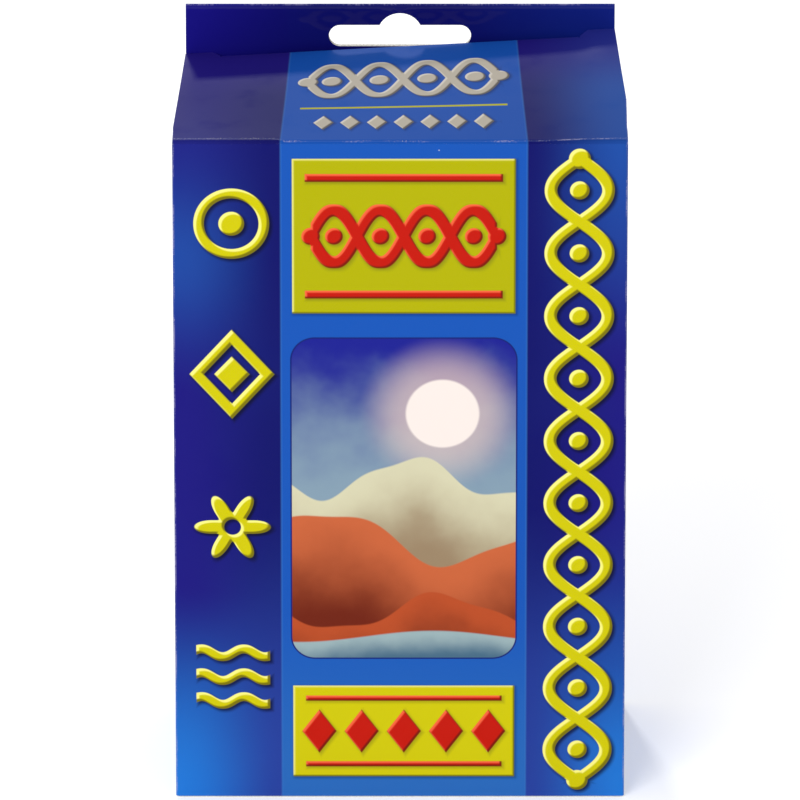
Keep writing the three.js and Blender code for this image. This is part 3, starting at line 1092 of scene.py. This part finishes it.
for upward, low, high, names in [
    (1, dust_low, dust_high, ("dust_flap_left", "dust_flap_right")),
    (-1, bottom_dust_low, bottom_dust_high, ("bottom_dust_flap_left", "bottom_dust_flap_right")),
]:
    for side, name in zip((-1, 1), names):
        outline = dust_outline(side, low.y, high.y, upward)
        us = sorted(abs(u) for u, v in outline)
        vs = sorted(v for u, v in outline)
        columns = sorted(side * u for u in spread(us[0], us[-1], DUST_GRID))
        rows = spread(vs[0], vs[-1], GRID, [dust_fold(upward)])
        flap = folded_board(name + "_board", outline, [], columns, rows, on_dust_flap(upward),
                            [sides_printed])
        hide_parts(name)
        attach(flap, "carton")

# The bottom is one flap of the same board with its tuck flap. It is creased at the back and tucks in
# behind the front, in the same way as the lid, and the carton stands on it.
bottom_tuck_gap = 0.8
bottom_root = 1.0
bottom_reach = shoulder_reach + bottom_tuck_gap - shoulder_step


def on_bottom(u, v):
    """The bottom's outer face. The sheet runs down the back to 0, then forward, then up inside the
    front."""
    x = back_middle - u
    past = -v
    if past < -CREASE_RADIUS:
        return x, rear_y, v
    if past < CREASE_RADIUS:
        along, off = round_corner(past, math.pi / 2)
        return x, rear_y - off, -along
    beyond = past - bottom_reach
    bend = math.pi / 2 + tuck_lean
    tangent = CREASE_RADIUS * math.tan(bend / 2)
    if beyond < -tangent:
        return x, rear_y - past, 0.0
    if abs(x) > tuck_half + shoulder_slant * 0.3:
        return x, rear_y - past, 0.0
    if beyond < tangent:
        along, off = over_the_crease(beyond, bend, CREASE_RADIUS)
        return x, rear_y - bottom_reach - along, off
    return x, rear_y - bottom_reach + beyond * math.sin(tuck_lean), beyond * math.cos(tuck_lean)


bottom_far = -bottom_reach
bottom_end = bottom_far - tuck_length
bottom_half = [
    (half_width, bottom_root),
    (half_width, -0.6),
    (half_width - lid_taper, bottom_far - shoulder_step),
    (shoulder_u, bottom_far - shoulder_step),
    (tuck_half + 0.5, bottom_far),
    (tuck_half + 0.25, bottom_far + 1.2),
    (tuck_half, bottom_far),
    *rounded_tuck(bottom_end, -1),
]
bottom_outline = [(back_middle + u, v) for u, v in bottom_half]
bottom_outline += [(back_middle - u, v) for u, v in reversed(bottom_half)]
bottom_columns = [back_middle + u for u in spread(-half_width, half_width, GRID)]
bottom_rows = spread(bottom_end, bottom_root, GRID, [0.0, bottom_far])
bottom = folded_board("bottom", bottom_outline, [], bottom_columns, bottom_rows, on_bottom,
                      [sides_printed])
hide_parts("bottom_panel", "bottom_tuck_flap")
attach(bottom, "carton")

# The studio has a pale floor, a large soft lamp in front and a small one behind the tab, whose shadow
# falls on the lid. The camera has a long lens, at the photograph's height.
FLOOR_HALF = 3.0
floor_corners = [(x * FLOOR_HALF, y * FLOOR_HALF, 0) for x, y in ((-1, -1), (1, -1), (1, 1), (-1, 1))]
floor_mesh = bpy.data.meshes.new("floor")
floor_mesh.from_pydata(floor_corners, [], [(0, 1, 2, 3)])
studio_floor = bpy.data.objects.new("floor", floor_mesh)
bpy.context.scene.collection.objects.link(studio_floor)

camera_height = math.radians(23)
camera_distance = 4.0
camera_aim = Vector((0, 0, 0.0998))
camera_data = bpy.data.cameras.new("camera")
camera_data.lens = 690.8
camera_data.sensor_width = 36
camera_data.clip_end = 20
camera = bpy.data.objects.new("camera", camera_data)
bpy.context.scene.collection.objects.link(camera)
camera_way = Vector((0, -math.cos(camera_height), math.sin(camera_height)))
camera.location = camera_aim + camera_distance * camera_way
camera.rotation_euler = (math.pi / 2 - camera_height, 0, 0)
bpy.context.scene.camera = camera
bpy.context.scene.view_settings.view_transform = "Standard"

floor_finish = Finish("pale_floor")
floor_grain = floor_finish.clouds(floor_finish.node("TexCoord", {}, {}, "Object"), 4.0)
floor_mesh.materials.append(floor_finish.board_shader(
    (0.95, 0.95, 0.95, 1), 0.9 + floor_grain * 0.05,
    Emission_Color=(1, 1, 1, 1), Emission_Strength=0.26,
))

world = bpy.data.worlds.new("studio")
world.use_nodes = True
world.node_tree.nodes["Background"].inputs["Color"].default_value = (1, 1, 1, 1)
world.node_tree.nodes["Background"].inputs["Strength"].default_value = 0.62
bpy.context.scene.world = world

for name, place, size, watts in [
    ("front_softbox", (-0.9, -1.8, 1.5), 1.2, 26.0),
    ("rear_light", (-0.25, 1.25, 1.12), 0.15, 6.5),
]:
    lamp_data = bpy.data.lights.new(name, "AREA")
    lamp_data.size = size
    lamp_data.energy = watts
    lamp = bpy.data.objects.new(name, lamp_data)
    bpy.context.scene.collection.objects.link(lamp)
    lamp.location = place
    lamp.rotation_euler = (camera_aim - Vector(place)).to_track_quat("-Z", "Y").to_euler()
